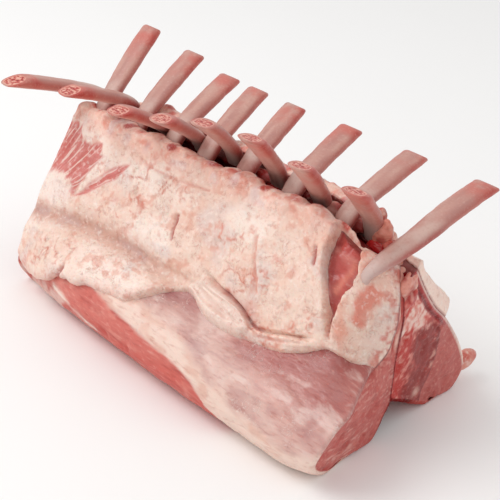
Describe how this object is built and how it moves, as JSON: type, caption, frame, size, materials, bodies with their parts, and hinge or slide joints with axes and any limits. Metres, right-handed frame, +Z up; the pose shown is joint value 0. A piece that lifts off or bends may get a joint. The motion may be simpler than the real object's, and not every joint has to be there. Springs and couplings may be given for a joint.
{
  "type": "rack of lamb",
  "caption": "Raw Frenched racks of lamb set rib side to rib side as a guard of honour, bone tips interlaced, fat caps outside, loin along the foot.",
  "frame": {"origin": "middle of the pair's box, on the surface that both racks stand on", "axes": "+X runs along the racks to the front rack's loin end, the front rack's fat cap faces -Y, +Z up"},
  "size_m": [0.2479, 0.1562, 0.1405],
  "materials": {
    "lean": "moist lamb muscle",
    "fat": "firm raw lamb fat",
    "bone": "scraped rib bone"
  },
  "bodies": {
    "root": {"front_lean": "lean", "front_fat": "fat", "front_rib_1": "bone", "front_rib_2": "bone", "front_rib_3": "bone", "front_rib_4": "bone", "front_rib_5": "bone", "front_rib_6": "bone", "front_rib_7": "bone", "front_rib_8": "bone", "rear_lean": "lean", "rear_fat": "fat", "rear_rib_1": "bone", "rear_rib_2": "bone", "rear_rib_3": "bone", "rear_rib_4": "bone", "rear_rib_5": "bone", "rear_rib_6": "bone", "rear_rib_7": "bone", "rear_rib_8": "bone", "rear_backstrap": "fat"}
  },
  "joints": []
}
